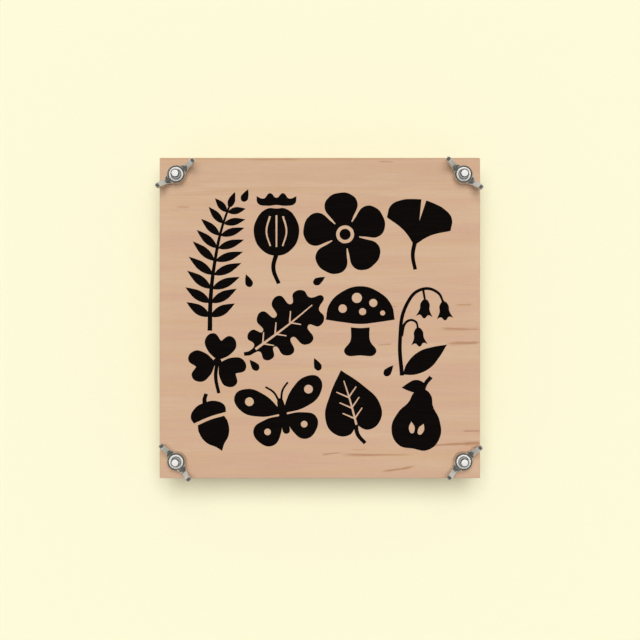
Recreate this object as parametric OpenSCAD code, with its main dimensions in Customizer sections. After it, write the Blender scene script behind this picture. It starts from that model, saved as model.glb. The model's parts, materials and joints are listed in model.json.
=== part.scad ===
// Flower press. Two square boards clamp a stack of corrugated cards and blotting sheets.
// Four carriage bolts stand up from the bottom board, and a wing nut on each draws the top board down.
// The origin is the centre of the bottom board's underside. +Z is up and +Y is the back of the press.

/* [Boards] */
// Width and depth of both square boards
board_w = 203; // [180:1:240]
// Thickness of the bottom board
bottom_board_t = 9; // [8:0.5:14]
// Thickness of the top board
top_board_t = 9; // [6:0.5:14]
// Width of the small chamfer that eases every face edge
edge_ease = 0.5; // [0.2:0.1:1.5]
// Radius of the upright corner edges
corner_r = 1; // [0.4:0.1:4]

/* [Bolts] */
// Distance from a bolt's axis to each of its two nearest board edges
bolt_inset = 11; // [10:0.5:16]
// Diameter of the shank
bolt_d = 6; // [5:0.5:7]
// Length from the underside of the head to the tip
bolt_length = 50; // [46:1:80]
// Width of the chamfer at the tip
bolt_tip_ease = 0.9; // [0.3:0.1:1.5]
// How much wider the square neck is than the shank
neck_extra = 0.4; // [0.2:0.1:1]
// Length of the square neck under the head
neck_length = 4.3; // [2:0.1:5]
// Diameter of the domed head
head_d = 16.5; // [13:0.5:19]
// Height of the domed head
head_h = 3.6; // [2.5:0.1:4]
// Thickness of the head's straight rim
head_rim = 0.5; // [0.3:0.1:1]
// How far the dome stays above the surface that the press stands on
head_sink = 0.6; // [0.3:0.1:1]
// Gap round the head in its pocket under the bottom board
head_pocket_gap = 0.75; // [0.5:0.05:1.5]
// Radial gap between a bolt and the bottom board above its neck
shank_gap = 0.1; // [0.05:0.05:0.5]
// Radial gap between a bolt and the top board, which slides on it
board_slide_gap = 0.5; // [0.3:0.05:1]

/* [Wing nuts] */
// Diameter of the hub where it bears on the board
hub_d = 12.4; // [11:0.1:15]
// Diameter of the hub at its top
hub_top_d = 9.8; // [9.4:0.1:11]
// Height of the hub
hub_h = 7.6; // [6.5:0.1:9]
// Width of the chamfers on the hub's outer edges
hub_ease = 0.4; // [0.2:0.1:0.6]
// Depth and width of the countersinks at both ends of the bore
countersink = 0.5; // [0.3:0.1:0.8]
// Radial running gap between the bore and the bolt
thread_gap = 0.05; // [0.02:0.01:0.1]
// Span from wing tip to wing tip
wing_span = 30.4; // [28:0.2:36]
// Height of the wings above the board
wing_h = 15.4; // [13:0.2:18]
// Thickness of a wing at its root
wing_root_t = 3.4; // [3:0.1:4.2]
// Thickness of a wing at its tip
wing_tip_t = 2.8; // [2:0.1:3]
// Radius of the rounded tip, seen from the front
wing_tip_r = 1.8; // [1.4:0.1:2.4]
// Radius of the wing's outer elbow, seen from the front
wing_elbow_r = 2.3; // [1.8:0.1:2.6]
// Distance from the bolt's axis to the centre of the elbow
wing_elbow_x = 10.2; // [9.6:0.1:11]
// Height of the centre of the elbow
wing_elbow_z = 5.9; // [5.4:0.1:6.6]
// Lean of the wing's inner face, from the board
wing_lean = 68; // [60:1:80]
// Radius of the fillet between the web and the wing's inner face
web_fillet_r = 1.6; // [0.8:0.1:2]
// Height of the web that joins the hub to the wings
web_z = 6.2; // [5.6:0.1:6.4]
// Height at which the wing's underside leaves the hub
web_low_z = 1.2; // [0.8:0.1:2]
// Distance from the bolt's axis to the corner where the hub's flank meets the wing
flank_x = 8.2; // [7.4:0.1:9]

/* [Wing nut angles] */
// Angle of the back left nut's wings from the left-right line
angle_back_left = 35.4; // [-90:0.1:90]
// Angle of the back right nut's wings
angle_back_right = -40.7; // [-90:0.1:90]
// Angle of the front left nut's wings
angle_front_left = -50.8; // [-90:0.1:90]
// Angle of the front right nut's wings
angle_front_right = 44.1; // [-90:0.1:90]

/* [Sheets] */
// How far the sheets stop short of the board's edges
sheet_margin = 6.5; // [4:0.5:20]
// Clearance between a sheet's cropped corner and the bolt
sheet_bolt_gap = 6; // [2:0.5:15]
// Thickness of a blotting sheet
blotter_t = 0.8; // [0.4:0.1:1.2]
// Thickness of a corrugated card
card_t = 3; // [2.4:0.1:4]
// Thickness of each of a card's two flat liners
liner_t = 0.4; // [0.2:0.05:0.5]
// Thickness of a card's wavy medium
medium_t = 0.35; // [0.2:0.05:0.5]
// Distance from one flute to the next
flute_pitch = 6.3; // [5:0.1:9]

/* [Hidden] */

$fn = 96;

// The sheets lie in the order card, two blotters, card and so on, with a card at each end
card_count = 5;
blotters_in_pair = 2;
blotter_count = blotters_in_pair * (card_count - 1);

// Heights of the pieces, from the bottom up
head_seat_z = head_sink + head_h;
stack_z = bottom_board_t;
stack_h = card_count * card_t + blotter_count * blotter_t;
top_board_z = stack_z + stack_h;
nut_z = top_board_z + top_board_t;

// Places and sizes that follow the bolts
bolt_xy = board_w / 2 - bolt_inset;
bolt_r = bolt_d / 2;
neck_w = bolt_d + neck_extra;
dome_h = head_h - head_rim;
dome_r = (pow(head_d / 2, 2) + pow(dome_h, 2)) / (2 * dome_h);

// Outline of the sheets
sheet_w = board_w - 2 * sheet_margin;
crop_to_axis = bolt_r + sheet_bolt_gap;
sheet_crop = sheet_w - 2 * bolt_xy + sqrt(2) * crop_to_axis;

// Flutes fill the card evenly
flute_count = round(sheet_w / flute_pitch);
flute_w = sheet_w / flute_count;
wave_h = (card_t - 2 * liner_t - medium_t) / 2;
// Part of a flute's width at each side where the medium is glued to the liner
glue_share = 0.1;
// Straight steps that draw the curve of one flute, and of one rounded corner of a wing
flute_steps = 6;
round_steps = 7;

// Places on the wing nut
nut_bore_r = bolt_r + thread_gap;
wing_tip_x = wing_span / 2 - wing_tip_r;
wing_tip_z = wing_h - wing_tip_r;

// Overrun of every cut past the faces that it goes through
over = 1;

wood_colour = "#d5b296";
steel_colour = "#a9abaa";
bolt_colour = "#bcbeba";
card_colour = "#b98f62";
blotter_colour = "#e9e4d8";

// Points along an arc about a centre, from one angle to another
function arc(centre, r, from, to) = [
    for (i = [0 : round_steps])
        let (a = from + (to - from) * i / round_steps)
        centre + r * [cos(a), sin(a)]
];

// Angle of the line from one point to another
function heading(from, to) = atan2(to.y - from.y, to.x - from.x);

// Angle at which a line touches both circles on its right-hand side
function touch(c1, r1, c2, r2) = heading(c1, c2) - acos((r1 - r2) / norm(c2 - c1));

// The same points mirrored to the other side of the Y axis, in reverse order
function mirrored(points) = [for (i = [len(points) - 1 : -1 : 0]) [-points[i].x, points[i].y]];

// Seen from the front: the underside of the web, the elbow, the tip, the inner face and the web's fillet
function wing_front_half() =
    let (
        start = [hub_top_d / 2, web_low_z],
        elbow = [wing_elbow_x, wing_elbow_z],
        tip = [wing_tip_x, wing_tip_z],
        under = touch(start, 0, elbow, wing_elbow_r),
        outer = touch(elbow, wing_elbow_r, tip, wing_tip_r),
        along = [cos(wing_lean), sin(wing_lean)],
        inward = [-sin(wing_lean), cos(wing_lean)],
        inner_top = tip + (wing_tip_r + web_fillet_r) * inward,
        fillet = inner_top - along * (inner_top.y - web_z - web_fillet_r) / along.y
    )
    concat(
        [start],
        arc(elbow, wing_elbow_r, under, outer),
        arc(tip, wing_tip_r, outer, wing_lean + 90),
        arc(fillet, web_fillet_r, wing_lean - 90, -90)
    );

// Seen from above: the flank of the hub, the corner where it meets the wing, and the rounded tip
function wing_plan_half() =
    let (
        tip_r = wing_tip_t / 2,
        tip = [wing_span / 2 - tip_r, 0],
        corner = [flank_x, wing_root_t / 2],
        hub_r = hub_top_d / 2,
        turn = atan2(corner.y, corner.x) + acos(hub_r / norm(corner)),
        side = [hub_r * [cos(turn), sin(turn)], corner]
    )
    concat(
        [[side[0].x, -side[0].y], [side[1].x, -side[1].y]],
        arc(tip, tip_r, -90, 90),
        [side[1], side[0]]
    );

// Seen from the end of a wing: the hub's width below, and above it a wing with a fully rounded crest
function wing_end_outline() =
    let (
        crest_r = wing_root_t / 2,
        ledge_z = web_z + web_fillet_r
    )
    concat(
        [[-hub_d / 2, 0], [hub_d / 2, 0], [hub_d / 2, ledge_z], [crest_r, ledge_z]],
        arc([0, wing_h - crest_r], crest_r, 0, 180),
        [[-crest_r, ledge_z], [-hub_d / 2, ledge_z]]
    );

// The wave's height above a card's mid-plane, at a share of a flute's width from its trough
function wave(share) = -wave_h * cos(360 * share);

// One open flute above the medium: along the wave, then back along the liner
function flute_outline() = concat(
    [
        for (i = [0 : flute_steps])
            let (share = -0.5 + glue_share + (1 - 2 * glue_share) * i / flute_steps)
            [share * flute_w, wave(share) + medium_t / 2]
    ],
    [
        [(0.5 - glue_share) * flute_w, card_t / 2 - liner_t],
        [(glue_share - 0.5) * flute_w, card_t / 2 - liner_t]
    ]
);

// A square with its four corners rounded
module rounded_square(w, r) {
    inset = w / 2 - r;
    polygon(concat(
        arc([inset, inset], r, 0, 90),
        arc([-inset, inset], r, 90, 180),
        arc([-inset, -inset], r, 180, 270),
        arc([inset, -inset], r, 270, 360)
    ));
}

// The side of a slab that stands on the X axis, with its four corners cut at 45 degrees
module eased_side(w, t, ease) {
    polygon([
        [ease - w / 2, 0],
        [w / 2 - ease, 0],
        [w / 2, ease],
        [w / 2, t - ease],
        [w / 2 - ease, t],
        [ease - w / 2, t],
        [-w / 2, t - ease],
        [-w / 2, ease]
    ]);
}

// A square board with every edge eased
module blank_board(t) {
    intersection() {
        linear_extrude(height = t) rounded_square(board_w, corner_r);
        for (turn = [0, 90])
            rotate([90, 0, turn])
                linear_extrude(height = board_w + over, center = true) eased_side(board_w, t, edge_ease);
    }
}

// Copies its children to each corner's bolt axis
module at_bolts() {
    for (x = [-1, 1], y = [-1, 1])
        translate([x * bolt_xy, y * bolt_xy, 0]) children();
}

// The pocket, square recess and hole that hold one bolt in the bottom board
module bolt_seat() {
    translate([0, 0, -over]) cylinder(d = head_d + 2 * head_pocket_gap, h = head_seat_z + over);
    translate([-neck_w / 2, -neck_w / 2, 0]) cube([neck_w, neck_w, head_seat_z + neck_length]);
    cylinder(r = bolt_r + shank_gap, h = bottom_board_t + over);
}

module bottom_board() {
    color(wood_colour)
    difference() {
        blank_board(bottom_board_t);
        at_bolts() bolt_seat();
    }
}

module top_board() {
    color(wood_colour)
    translate([0, 0, top_board_z])
    difference() {
        blank_board(top_board_t);
        at_bolts() translate([0, 0, -over]) cylinder(r = bolt_r + board_slide_gap, h = top_board_t + 2 * over);
    }
}

// The domed head, the right way up, with its seat at the top
module bolt_head() {
    rotate_extrude() {
        translate([0, -head_rim]) square([head_d / 2, head_rim]);
        intersection() {
            translate([0, dome_r - head_h]) circle(dome_r);
            translate([0, -head_h]) square([head_d / 2, dome_h]);
        }
    }
}

// A carriage bolt on the Z axis, in its place in the bottom board
module carriage_bolt() {
    translate([0, 0, head_seat_z]) {
        bolt_head();
        translate([-neck_w / 2, -neck_w / 2, 0]) cube([neck_w, neck_w, neck_length]);
        cylinder(r = bolt_r, h = bolt_length - bolt_tip_ease);
        translate([0, 0, bolt_length - bolt_tip_ease])
            cylinder(r1 = bolt_r, r2 = bolt_r - bolt_tip_ease, h = bolt_tip_ease);
    }
}

module bolt_at(side, end) {
    color(bolt_colour)
    translate([side * bolt_xy, end * bolt_xy, 0]) carriage_bolt();
}

module bolt_back_left() { bolt_at(-1, 1); }
module bolt_back_right() { bolt_at(1, 1); }
module bolt_front_left() { bolt_at(-1, -1); }
module bolt_front_right() { bolt_at(1, -1); }

// The tapered hub, which bears on the board
module nut_hub() {
    rotate_extrude() polygon([
        [0, 0],
        [hub_d / 2 - hub_ease, 0],
        [hub_d / 2, hub_ease],
        [hub_top_d / 2, hub_h - hub_ease],
        [hub_top_d / 2 - hub_ease, hub_h],
        [0, hub_h]
    ]);
}

// Both wings and the web between them, where the outlines from the front, above and the end meet
module nut_wings() {
    front = wing_front_half();
    plan = wing_plan_half();
    intersection() {
        rotate([90, 0, 0])
            linear_extrude(height = hub_d + over, center = true) polygon(concat(front, mirrored(front)));
        translate([0, 0, -over])
            linear_extrude(height = wing_h + 2 * over) polygon(concat(plan, mirrored(plan)));
        rotate([90, 0, 90])
            linear_extrude(height = wing_span + over, center = true) polygon(wing_end_outline());
    }
}

// The bore with a countersink at each end
module nut_bore() {
    wide_r = nut_bore_r + countersink;
    translate([0, 0, -over]) cylinder(r = nut_bore_r, h = hub_h + 2 * over);
    translate([0, 0, -over]) cylinder(r1 = wide_r + over, r2 = nut_bore_r, h = countersink + over);
    translate([0, 0, hub_h - countersink])
        cylinder(r1 = nut_bore_r, r2 = wide_r + over, h = countersink + over);
}

module wing_nut() {
    difference() {
        union() {
            nut_hub();
            nut_wings();
        }
        nut_bore();
    }
}

// Puts its child on the top board at one bolt
module wing_nut_at(side, end) {
    color(steel_colour)
    translate([side * bolt_xy, end * bolt_xy, nut_z]) children();
}

module wing_nut_back_left() { wing_nut_at(-1, 1) rotate(angle_back_left) wing_nut(); }
module wing_nut_back_right() { wing_nut_at(1, 1) rotate(angle_back_right) wing_nut(); }
module wing_nut_front_left() { wing_nut_at(-1, -1) rotate(angle_front_left) wing_nut(); }
module wing_nut_front_right() { wing_nut_at(1, -1) rotate(angle_front_right) wing_nut(); }

// The outline of every sheet: a square with its corners cropped to clear the bolts
module sheet_outline() {
    half = sheet_w / 2;
    short = half - sheet_crop;
    polygon([
        [-short, -half], [short, -half],
        [half, -short], [half, short],
        [short, half], [-short, half],
        [-half, short], [-half, -short]
    ]);
}

// A card's end, with open flutes above and below its wavy medium
module card_section() {
    difference() {
        square([sheet_w, card_t], center = true);
        for (i = [0 : flute_count - 1])
            translate([(i + 0.5) * flute_w - sheet_w / 2, 0]) polygon(flute_outline());
        for (i = [0 : flute_count])
            translate([i * flute_w - sheet_w / 2, 0]) mirror([0, 1]) polygon(flute_outline());
    }
}

// A corrugated card, counted from 0 at the bottom, with flutes that run from front to back
module cardboard(place) {
    color(card_colour)
    translate([0, 0, stack_z + place * (card_t + blotters_in_pair * blotter_t)])
    intersection() {
        translate([0, 0, card_t / 2]) rotate([90, 0, 0])
            linear_extrude(height = sheet_w, center = true) card_section();
        linear_extrude(height = card_t) sheet_outline();
    }
}

// A blotting sheet, counted from 0 at the bottom
module blotter(place) {
    cards_below = floor(place / blotters_in_pair) + 1;
    color(blotter_colour)
    translate([0, 0, stack_z + cards_below * card_t + place * blotter_t])
    linear_extrude(height = blotter_t) sheet_outline();
}

bottom_board();
top_board();
bolt_back_left();
bolt_back_right();
bolt_front_left();
bolt_front_right();
wing_nut_back_left();
wing_nut_back_right();
wing_nut_front_left();
wing_nut_front_right();
cardboard(0);  // cardboard_1
cardboard(1);  // cardboard_2
cardboard(2);  // cardboard_3
cardboard(3);  // cardboard_4
cardboard(4);  // cardboard_5
blotter(0);  // blotter_1
blotter(1);  // blotter_2
blotter(2);  // blotter_3
blotter(3);  // blotter_4
blotter(4);  // blotter_5
blotter(5);  // blotter_6
blotter(6);  // blotter_7
blotter(7);  // blotter_8
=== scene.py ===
"""The looks of a flower press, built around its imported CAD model.

Two maple plywood boards clamp corrugated cards and blotting sheets between them. Four carriage bolts and
wing nuts draw the boards together, and the top board carries a black print of leaves and flowers.
The classes hold their sizes in millimetres. A finished mesh is in metres, in its place in the CAD frame.
"""

import json
import logging
import math
import random
from collections.abc import Callable, Iterable, Mapping, Sequence
from dataclasses import dataclass
from enum import Enum
from functools import partial
from typing import Any

import bmesh
import bpy
from mathutils import Matrix, Vector

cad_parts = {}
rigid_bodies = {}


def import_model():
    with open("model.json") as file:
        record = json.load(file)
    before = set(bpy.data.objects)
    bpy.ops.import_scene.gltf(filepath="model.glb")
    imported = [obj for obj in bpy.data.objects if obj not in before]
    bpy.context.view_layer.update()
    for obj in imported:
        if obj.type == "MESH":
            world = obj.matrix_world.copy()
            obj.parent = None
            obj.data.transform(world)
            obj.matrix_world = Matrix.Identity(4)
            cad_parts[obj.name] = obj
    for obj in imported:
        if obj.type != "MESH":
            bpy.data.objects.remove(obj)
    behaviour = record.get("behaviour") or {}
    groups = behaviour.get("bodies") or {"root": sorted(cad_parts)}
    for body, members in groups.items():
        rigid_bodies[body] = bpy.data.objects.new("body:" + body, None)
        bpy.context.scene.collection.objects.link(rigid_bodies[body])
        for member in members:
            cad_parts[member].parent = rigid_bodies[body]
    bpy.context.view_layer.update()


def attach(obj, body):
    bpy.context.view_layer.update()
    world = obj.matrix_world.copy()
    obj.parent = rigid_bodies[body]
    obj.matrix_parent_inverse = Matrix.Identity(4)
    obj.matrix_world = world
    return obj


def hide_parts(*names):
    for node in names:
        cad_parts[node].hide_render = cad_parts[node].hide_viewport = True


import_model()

log = logging.getLogger("flower_press")
MM = 0.001
# How far a tool runs past the surface that it cuts, and a shape into the one that it joins
OVERRUN = 1.0
# Points that are nearer to each other than this become one
MERGE = 1e-4
# Left and right
SIDES = (-1, 1)
Point = tuple[float, float]
Place = tuple[float, float, float]
# A corner of an outline: its place, and the radius that rounds it
Corner = tuple[float, float, float]
Socket = bpy.types.NodeSocket
# Does what add_node does, in one tree
AddNode = Callable[..., Socket]


class Cut(Enum):
    """What happens to a solid where others meet it."""

    JOIN = "UNION"
    TAKE_AWAY = "DIFFERENCE"
    KEEP_SHARED = "INTERSECT"


class Round(Enum):
    """What is rounded: the edges of a solid, or the corners of a flat outline."""

    EDGES = "EDGES"
    CORNERS = "VERTICES"


class Grain(Enum):
    """How the face veneer's grain runs at a board's edge, and so the test that finds the plies in end grain."""

    ALONG_EDGE = "GREATER_THAN"
    INTO_EDGE = "LESS_THAN"


# Colour and nodes


def hex_colour(code: str) -> tuple[float, float, float, float]:
    """Turns an sRGB hex colour into linear values.

    Args:
        code: the colour, such as "#D3B093".

    Returns:
        Linear red, green and blue, and an alpha of 1.
    """
    shares = [int(code[i : i + 2], 16) / 255 for i in (1, 3, 5)]
    linear = [s / 12.92 if s <= 0.04045 else ((s + 0.055) / 1.055) ** 2.4 for s in shares]
    return (*linear, 1.0)


def add_node(
    tree: bpy.types.NodeTree, kind: str, inputs: Mapping[str | int, Any] | Sequence[Any] = (), **settings: Any
) -> Socket | None:
    """Adds a node with its settings and links.

    Args:
        tree: the node tree of a material or of the world.
        kind: the node's type, without ShaderNode.
        inputs: what goes into its inputs, in their order or by name or number: a socket, a value or a hex colour.
        settings: the node's other properties, such as operation.

    Returns:
        The first output that the settings leave switched on, if it has one.
    """
    made = tree.nodes.new("ShaderNode" + kind)
    for name, value in settings.items():
        setattr(made, name, value)
    for key, value in inputs.items() if isinstance(inputs, Mapping) else enumerate(inputs):
        if isinstance(value, Socket):
            tree.links.new(value, made.inputs[key])
        else:
            made.inputs[key].default_value = hex_colour(value) if isinstance(value, str) else value
    return next((output for output in made.outputs if output.enabled), None)


@dataclass(frozen=True)
class Finish:
    """A surface finish. Each kind writes its own nodes, in millimetres of the piece's own space."""

    name: str

    def material(self) -> bpy.types.Material:
        """The finish's material, written the first time that it is asked for."""
        return bpy.data.materials.get(self.name) or self._write()

    def _write(self) -> bpy.types.Material:
        """Makes the material and lets the finish write its own nodes.

        Returns:
            The material.
        """
        made = bpy.data.materials.new(self.name)
        made.use_nodes = True
        made.node_tree.nodes.clear()
        add = partial(add_node, made.node_tree)
        place = add("TexCoord").node.outputs["Object"]
        mm = add("VectorMath", {0: place, "Scale": 1 / MM}, operation="SCALE")
        add("OutputMaterial", {"Surface": self.shade(add, mm)})
        return made

    def shade(self, add: AddNode, mm: Socket) -> Socket:
        """Writes the finish's nodes.

        Args:
            add: adds a node to the material.
            mm: the point on the surface, in millimetres of the object's space.

        Returns:
            The shader.
        """
        raise NotImplementedError


@dataclass(frozen=True)
class Streak:
    """A mineral streak in the veneer, from one point on the board to another."""

    start: Point
    end: Point
    width: float
    strength: float
    # How many widths the wood's figure swings it, and where along each half it starts to fade and is gone
    swing: float = 1.6
    fade: Point = (0.55, 1.1)

    def share(self, add: AddNode, mm: Socket, figure: Socket) -> Socket:
        """Writes how much of the streak's colour shows at each point.

        Args:
            add: adds a node to the material.
            mm: the point on the surface, in millimetres.
            figure: the noise that makes the streak uneven.

        Returns:
            The share.
        """
        middle = (Vector(self.start) + Vector(self.end)) / 2
        along = Vector(self.end) - Vector(self.start)
        turn = (0, 0, math.atan2(along.y, along.x))
        local = add("Mapping", (mm, (*middle, 0), turn), vector_type="TEXTURE")
        x, y, _ = add("SeparateXYZ", (local,)).node.outputs
        reach = self.width * self.swing
        swung = add("MapRange", (figure, 0.0, 1.0, -reach, reach))
        off = add("Math", (y, swung), operation="ADD")
        off = add("Math", (off,), operation="ABSOLUTE")
        far = add("Math", (x,), operation="ABSOLUTE")
        fade = (part * along.length / 2 for part in self.fade)
        thick = add("MapRange", (off, 0.0, self.width, self.strength, 0.0), interpolation_type="SMOOTHSTEP")
        ends = add("MapRange", (far, *fade, 1.0, 0.0), interpolation_type="SMOOTHSTEP")
        return add("Math", (thick, ends), operation="MULTIPLY")


@dataclass(frozen=True)
class MapleVeneer(Finish):
    """Rotary-cut maple, sanded and waxed: pale tan with soft broad bands, fine lines and brown mineral streaks."""

    pale: str = "#D8B698"
    rosy: str = "#D5AE92"
    golden: str = "#D5B28C"
    mineral: str = "#A8724F"
    # Width of the broad colour bands and of the fine lines, across the grain
    band: float = 11.0
    line: float = 0.9
    # Maple's pores are under 0.1 mm wide, and are drawn about three times as wide so that they show
    pore: float = 0.28
    relief: float = 0.05
    # Moves the pattern, so that the two boards aren't cut from the same sheet
    shift: float = 0.0
    streaks: tuple[Streak, ...] = ()

    def shade(self, add: AddNode, mm: Socket) -> Socket:
        """Writes the veneer, with its grain along X.

        Args:
            add: adds a node to the material.
            mm: the point on the surface, in millimetres.

        Returns:
            The shader.
        """
        here = add("VectorMath", (mm, (self.shift, self.shift, 0)), operation="ADD")
        noise = {}
        # Each layer's width across the grain, how many widths it runs, its detail and how far it wanders
        for name, across, run, detail, wander in (
            ("band", self.band, 14.0, 2.0, 0.3),
            ("tint", self.band * 0.45, 22.0, 2.0, 0.4),
            ("figure", self.line * 3.2, 16.0, 3.0, 0.7),
            ("line", self.line, 34.0, 3.0, 0.25),
            ("pore", self.pore, 11.0, 1.0, 0.0),
        ):
            place = add("Mapping", {"Vector": here, "Scale": (1 / (across * run), 1 / across, 1 / across)})
            noise[name] = add("TexNoise", {"Vector": place, "Scale": 1.0, "Detail": detail, "Distortion": wander})
        colour = self.pale
        # Each layer's tone, the values of its noise where that starts and is full, and its strength there
        for name, tone, low, high, most, rise in (
            ("band", self.rosy, 0.38, 0.64, 1.0, "SMOOTHSTEP"),
            ("tint", self.golden, 0.46, 0.74, 0.8, "LINEAR"),
            ("figure", self.mineral, 0.42, 0.7, 0.045, "LINEAR"),
            ("line", self.mineral, 0.4, 0.75, 0.075, "LINEAR"),
            ("pore", self.mineral, 0.62, 0.74, 0.13, "LINEAR"),
        ):
            share = add("MapRange", (noise[name], low, high, 0.0, most), interpolation_type=rise)
            colour = add("Mix", {0: share, 6: colour, 7: tone}, data_type="RGBA")
        for streak in self.streaks:
            share = streak.share(add, mm, noise["figure"])
            colour = add("Mix", {0: share, 6: colour, 7: self.mineral}, data_type="RGBA")
        height = add("Math", (noise["line"], noise["pore"]), operation="ADD")
        bump = add("Bump", {"Strength": 0.35, "Distance": self.relief * MM, "Height": height})
        rough = add("MapRange", (noise["line"], 0.3, 0.7, 0.5, 0.62))
        wood = {"Base Color": colour, "Roughness": rough, "IOR": 1.47, "Specular IOR Level": 0.35, "Normal": bump}
        return add("BsdfPrincipled", wood)


@dataclass(frozen=True)
class PlyEdge(Finish):
    """The sawn edge of seven-ply maple: pale long grain and darker end grain in turn, with thin glue lines."""

    grain: Grain = Grain.ALONG_EDGE
    bottom: float = 0.0
    ply: float = 9 / 7
    # How far the plies wave up and down, and per millimetre, the waves and the streaks of the long grain
    swing: float = 0.28
    wave: Place = (0.06, 0.06, 0.4)
    streak: Place = (0.12, 0.12, 5.0)
    # The end grain's pores, per millimetre, drawn about three times as wide as real ones so that they show
    pore: float = 3.4
    relief: float = 0.08
    long_grain: str = "#DBB892"
    end_grain: str = "#B88C66"
    glue: str = "#855C3E"

    def shade(self, add: AddNode, mm: Socket) -> Socket:
        """Writes the plies, one above the other.

        Args:
            add: adds a node to the material.
            mm: the point on the surface, in millimetres.

        Returns:
            The shader.
        """
        wave, streaks = (
            add("TexNoise", {"Vector": add("Mapping", {"Vector": mm, "Scale": scale}), "Scale": 1.0, "Detail": detail})
            for scale, detail in ((self.wave, 2.0), (self.streak, 3.0))
        )
        pores = add("TexNoise", {"Vector": mm, "Scale": self.pore, "Detail": 2.0, "Roughness": 0.7})
        swung = add("MapRange", (wave, 0.0, 1.0, -self.swing, self.swing))
        height = add("Math", (add("SeparateXYZ", (mm,)).node.outputs["Z"], swung), operation="ADD")
        plies = add("MapRange", (height, self.bottom, self.bottom + self.ply), clamp=False)
        # The ping-pong goes from 0 to 1 and back every two plies, and the half ply of shift keeps one side per ply
        pair = add("Math", (plies, 0.5), operation="SUBTRACT")
        pair = add("Math", (pair, 1.0), operation="PINGPONG")
        cross = add("Math", (pair, 0.5), operation=self.grain.value)
        # How far a point is from the middle of its ply, as a share of the ply, and so how near a glue line
        off = add("Math", (plies,), operation="FRACT")
        off = add("Math", (off, 0.5), operation="SUBTRACT")
        off = add("Math", (off,), operation="ABSOLUTE")
        glue = add("MapRange", (off, 0.42, 0.49, 0.0, 0.75))
        long_share = add("MapRange", (streaks, 0.4, 0.7, 0.0, 0.45))
        end_share = add("MapRange", (pores, 0.45, 0.65, 0.0, 0.55))
        along = add("Mix", {0: long_share, 6: self.long_grain, 7: self.end_grain}, data_type="RGBA")
        across = add("Mix", {0: end_share, 6: self.end_grain, 7: self.glue}, data_type="RGBA")
        colour = add("Mix", {0: cross, 6: along, 7: across}, data_type="RGBA")
        colour = add("Mix", {0: glue, 6: colour, 7: self.glue}, data_type="RGBA")
        height = add("Mix", {0: cross, 2: streaks, 3: pores})
        bump = add("Bump", {"Strength": 0.5, "Distance": self.relief * MM, "Height": height})
        wood = {"Base Color": colour, "Roughness": 0.7, "IOR": 1.47, "Specular IOR Level": 0.3, "Normal": bump}
        return add("BsdfPrincipled", wood)


@dataclass(frozen=True)
class ScreenInk(Finish):
    """Water-based black screen ink: dense and matt, with the wood's finest lines just showing in it."""

    black: str = "#090605"
    worn: str = "#120E0B"
    # The wood's lines, per millimetre along and across the grain
    line: Place = (0.06, 1.4, 1.4)
    relief: float = 0.03

    def shade(self, add: AddNode, mm: Socket) -> Socket:
        """Writes the ink.

        Args:
            add: adds a node to the material.
            mm: the point on the surface, in millimetres.

        Returns:
            The shader.
        """
        place = add("Mapping", {"Vector": mm, "Scale": self.line})
        lines = add("TexNoise", {"Vector": place, "Scale": 1.0, "Detail": 4.0})
        share = add("MapRange", (lines, 0.5, 0.8))
        colour = add("Mix", {0: share, 6: self.black, 7: self.worn}, data_type="RGBA")
        bump = add("Bump", {"Strength": 0.3, "Distance": self.relief * MM, "Height": lines})
        ink = {"Base Color": colour, "Roughness": 0.62, "IOR": 1.5, "Specular IOR Level": 0.05, "Normal": bump}
        return add("BsdfPrincipled", ink)


def from_bolt(add: AddNode, mm: Socket, axis: float) -> Socket:
    """Writes how far each point is from the nearest bolt's axis. The four axes mirror each other.

    Args:
        add: adds a node to the material.
        mm: the point on the surface, in millimetres.
        axis: how far the bolts stand from the middle of the press, both ways.

    Returns:
        The distance in millimetres.
    """
    quarter = add("VectorMath", (mm,), operation="ABSOLUTE")
    local = add("VectorMath", (quarter, (axis, axis, 0)), operation="SUBTRACT")
    flat = add("VectorMath", (local, (1, 1, 0)), operation="MULTIPLY")
    return add("VectorMath", (flat,), operation="LENGTH")


@dataclass(frozen=True)
class PlatedSteel(Finish):
    """Zinc-plated steel: a grey metal with faint mottling, and a soft grainy skin where it was cast or rolled."""

    bright: str = "#B9BAB6"
    dull: str = "#8F918F"
    roughness: float = 0.34
    # Size of the mottling and of the skin's grain, which is drawn coarser than it is so that it shows, and its depth
    mottle: float = 3.0
    skin: float = 0.45
    depth: float = 0.02

    def shade(self, add: AddNode, mm: Socket) -> Socket:
        """Writes the plating.

        Args:
            add: adds a node to the material.
            mm: the point on the surface, in millimetres.

        Returns:
            The shader.
        """
        grit = add("TexNoise", {"Vector": mm, "Scale": 1 / self.skin, "Detail": 3.0, "Roughness": 0.6})
        rough = add("MapRange", (grit, 0.3, 0.7, self.roughness - 0.06, self.roughness + 0.1))
        bump = add("Bump", {"Strength": 0.6, "Distance": self.depth * MM, "Height": grit})
        steel = {"Base Color": self._metal(add, mm), "Metallic": 1.0, "Roughness": rough, "Normal": bump}
        return add("BsdfPrincipled", steel)

    def _metal(self, add: AddNode, mm: Socket) -> Socket:
        """Writes the mottled colour of the plating.

        Args:
            add: adds a node to the material.
            mm: the point on the surface, in millimetres.

        Returns:
            The colour.
        """
        cloud = add("TexNoise", {"Vector": mm, "Scale": 1 / self.mottle, "Detail": 3.0})
        share = add("MapRange", (cloud, 0.35, 0.68))
        return add("Mix", {0: share, 6: self.bright, 7: self.dull}, data_type="RGBA")


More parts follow.
